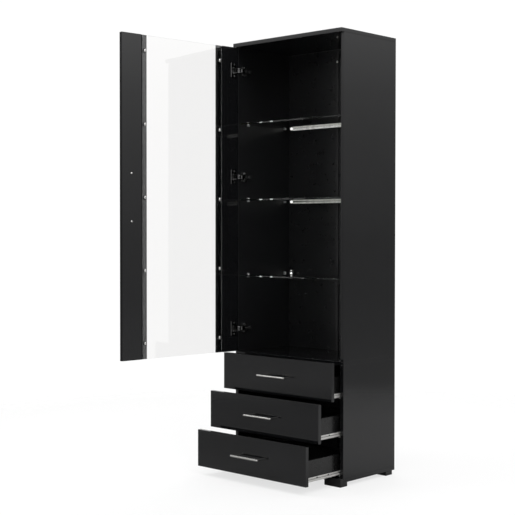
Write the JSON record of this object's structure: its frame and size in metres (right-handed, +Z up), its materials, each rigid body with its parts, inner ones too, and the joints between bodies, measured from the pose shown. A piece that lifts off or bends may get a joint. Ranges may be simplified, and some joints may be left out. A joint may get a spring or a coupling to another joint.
{
  "type": "china cabinet",
  "caption": "Tall gloss-black display cabinet with a hinged glass door, glass shelves with light bars, and pull-out drawers on side runners below.",
  "frame": {"origin": "on the floor, at the centre of the carcass footprint (the top board's outline)", "axes": "+Z up, +X to the cabinet's right seen from the front, -Y out of the front"},
  "size_m": [0.6857, 0.9422, 1.824],
  "materials": {
    "gloss_black_board": "high-gloss black laminate on 16 mm board",
    "drawer_board": "satin black foil on 12 mm board",
    "back_board": "satin black hardboard",
    "joint_strip": "satin black extruded plastic",
    "foot_plastic": "black moulded plastic, low sheen",
    "shelf_glass": "clear float glass, polished edges",
    "door_glass": "clear float glass, polished edges",
    "handle_metal": "fine brushed, bright",
    "hinge_nickel": "nickel plated, bright",
    "runner_zinc": "zinc plated, semi-bright",
    "light_profile": "satin anodised"
  },
  "bodies": {
    "cabinet": {"top_panel": "gloss_black_board", "bottom_panel": "gloss_black_board", "divider_panel": "gloss_black_board", "side_upper_left": "gloss_black_board", "side_upper_right": "gloss_black_board", "side_lower_left": "gloss_black_board", "side_lower_right": "gloss_black_board", "back_panel_left": "back_board", "back_panel_right": "back_board", "back_joint_strip": "joint_strip", "foot_front_left": "foot_plastic", "foot_front_right": "foot_plastic", "foot_rear_left": "foot_plastic", "foot_rear_right": "foot_plastic", "glass_shelf_lower": "shelf_glass", "glass_shelf_middle": "shelf_glass", "glass_shelf_upper": "shelf_glass", "light_bar_middle": "light_profile", "light_bar_upper": "light_profile", "light_clip_lower": "light_profile", "hinge_arm_lower": "hinge_nickel", "hinge_arm_middle": "hinge_nickel", "hinge_arm_upper": "hinge_nickel", "cabinet_runner_bottom_left": "runner_zinc", "cabinet_runner_bottom_right": "runner_zinc", "cabinet_runner_middle_left": "runner_zinc", "cabinet_runner_middle_right": "runner_zinc", "cabinet_runner_top_left": "runner_zinc", "cabinet_runner_top_right": "runner_zinc"},
    "door": {"door_stile_hinge": "gloss_black_board", "door_stile_handle": "gloss_black_board", "door_glass": "door_glass", "door_handle": "handle_metal", "hinge_cup_lower": "hinge_nickel", "hinge_cup_middle": "hinge_nickel", "hinge_cup_upper": "hinge_nickel"},
    "drawer_bottom": {"drawer_bottom_front": "gloss_black_board", "drawer_bottom_side_left": "drawer_board", "drawer_bottom_runner_left": "runner_zinc", "drawer_bottom_side_right": "drawer_board", "drawer_bottom_runner_right": "runner_zinc", "drawer_bottom_back": "drawer_board", "drawer_bottom_bottom": "back_board", "drawer_bottom_handle": "handle_metal"},
    "drawer_middle": {"drawer_middle_front": "gloss_black_board", "drawer_middle_side_left": "drawer_board", "drawer_middle_runner_left": "runner_zinc", "drawer_middle_side_right": "drawer_board", "drawer_middle_runner_right": "runner_zinc", "drawer_middle_back": "drawer_board", "drawer_middle_bottom": "back_board", "drawer_middle_handle": "handle_metal"},
    "drawer_top": {"drawer_top_front": "gloss_black_board", "drawer_top_side_left": "drawer_board", "drawer_top_runner_left": "runner_zinc", "drawer_top_side_right": "drawer_board", "drawer_top_runner_right": "runner_zinc", "drawer_top_back": "drawer_board", "drawer_top_bottom": "back_board", "drawer_top_handle": "handle_metal"}
  },
  "joints": [
    {"name": "door_hinge", "type": "hinge", "parent": "cabinet", "child": "door", "pos_m": [-0.2925, -0.1735, 1.15425], "axis": [0, 0, -1], "range_deg": [-95.5, 0]},
    {"name": "drawer_bottom_slide", "type": "slide", "parent": "cabinet", "child": "drawer_bottom", "axis": [0, -1, 0], "range_m": [-0.209, 0.016]},
    {"name": "drawer_middle_slide", "type": "slide", "parent": "cabinet", "child": "drawer_middle", "axis": [0, -1, 0], "range_m": [-0.1345, 0.0905]},
    {"name": "drawer_top_slide", "type": "slide", "parent": "cabinet", "child": "drawer_top", "axis": [0, -1, 0], "range_m": [-0.055, 0.17]}
  ]
}
